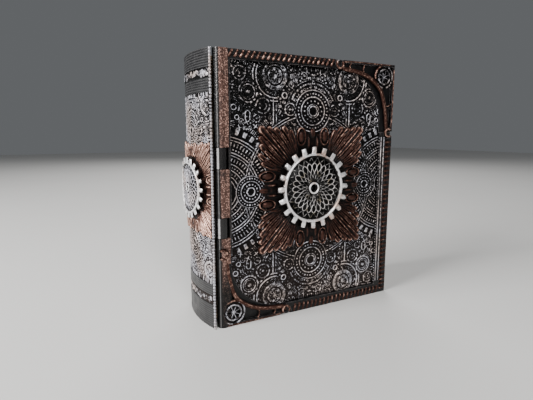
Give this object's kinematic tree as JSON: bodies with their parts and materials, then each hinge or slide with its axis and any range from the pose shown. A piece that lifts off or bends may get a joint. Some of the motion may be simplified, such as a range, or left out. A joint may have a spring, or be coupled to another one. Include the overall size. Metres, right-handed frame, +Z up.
{
  "type": "book cryptex",
  "caption": "Book-shaped cryptex box: hinged ornamented front cover, curved spine, hollow page block, code rings in the fore-edge that free a sliding lock bar.",
  "frame": {"origin": "bottom centre of the whole object's bounding box, on the shelf it stands on", "axes": "+Z up along the spine, -Y towards the front cover's face, -X towards the spine, +X towards the fore-edge"},
  "size_m": [0.174, 0.062, 0.2],
  "materials": {
    "black_print": "satin black print",
    "rubbed_silver": "black with silver rubbed over the high points",
    "silver_paint": "bright silver paint",
    "copper_paint": "dark copper paint with bright high points",
    "page_paint": "aged paper colour",
    "aged_bronze": "dark bronze paint",
    "bare_print": "plain dark print",
    "steel": "plain"
  },
  "bodies": {
    "case": {"back_board": "black_print", "back_corner_ornament_bottom": "copper_paint", "back_corner_ornament_top": "copper_paint", "back_corner_wheel_bottom": "silver_paint", "back_corner_wheel_top": "silver_paint", "back_frame": "black_print", "back_hinge_strip": "copper_paint", "back_relief": "rubbed_silver", "back_rope_rim_bottom": "copper_paint", "back_rope_rim_side": "copper_paint", "back_rope_rim_top": "copper_paint", "hinge_pin": "steel", "lock_cap_lower": "bare_print", "lock_cap_upper": "bare_print", "lock_plate": "bare_print", "lock_plate_screws": "steel", "lock_spindle": "bare_print", "page_box": "page_paint", "spine_bands_silver": "rubbed_silver", "spine_bands_smooth": "black_print", "spine_edge_strip": "rubbed_silver", "spine_gear": "silver_paint", "spine_knuckle_lower": "black_print", "spine_knuckle_upper": "black_print", "spine_leaf": "copper_paint", "spine_relief": "rubbed_silver", "spine_rosette": "rubbed_silver", "spine_shell": "black_print"},
    "cover": {"cover_board": "black_print", "cover_frame": "black_print", "cover_relief": "rubbed_silver", "rope_rim_top": "copper_paint", "rope_rim_bottom": "copper_paint", "rope_rim_side": "copper_paint", "corner_ornament_top": "copper_paint", "corner_ornament_bottom": "copper_paint", "corner_wheel_top": "silver_paint", "corner_wheel_bottom": "silver_paint", "leaf_plate": "copper_paint", "ring_gear": "silver_paint", "rosette_mesh": "rubbed_silver", "hub_ring": "silver_paint", "cover_knuckle_bottom": "copper_paint", "cover_knuckle_middle": "copper_paint", "cover_knuckle_top": "copper_paint", "keeper_lower": "bare_print", "keeper_upper": "bare_print", "keeper_screws": "steel"},
    "lock_bar": {"lock_bar": "bare_print", "latch_arm_lower": "bare_print", "latch_arm_upper": "bare_print", "thumb_slider": "silver_paint"},
    "ring_1": {"code_ring_1": "aged_bronze"},
    "ring_2": {"code_ring_2": "aged_bronze"},
    "ring_3": {"code_ring_3": "aged_bronze"},
    "ring_4": {"code_ring_4": "aged_bronze"},
    "ring_5": {"code_ring_5": "aged_bronze"}
  },
  "joints": [
    {"name": "cover_hinge", "type": "hinge", "parent": "case", "child": "cover", "pos_m": [-0.0697, -0.0244, 0.1], "axis": [0, 0, -1], "range_deg": [0, 105]},
    {"name": "lock_slide", "type": "slide", "parent": "case", "child": "lock_bar", "axis": [0, 0, 1], "range_m": [0, 0.016]},
    {"name": "ring_1_turn", "type": "hinge", "parent": "case", "child": "ring_1", "pos_m": [0.0675, 0.001, 0.068], "axis": [0, 0, 1], "continuous": true},
    {"name": "ring_2_turn", "type": "hinge", "parent": "case", "child": "ring_2", "pos_m": [0.0675, 0.001, 0.084], "axis": [0, 0, 1], "continuous": true},
    {"name": "ring_3_turn", "type": "hinge", "parent": "case", "child": "ring_3", "pos_m": [0.0675, 0.001, 0.1], "axis": [0, 0, 1], "continuous": true},
    {"name": "ring_4_turn", "type": "hinge", "parent": "case", "child": "ring_4", "pos_m": [0.0675, 0.001, 0.116], "axis": [0, 0, 1], "continuous": true},
    {"name": "ring_5_turn", "type": "hinge", "parent": "case", "child": "ring_5", "pos_m": [0.0675, 0.001, 0.132], "axis": [0, 0, 1], "continuous": true}
  ]
}
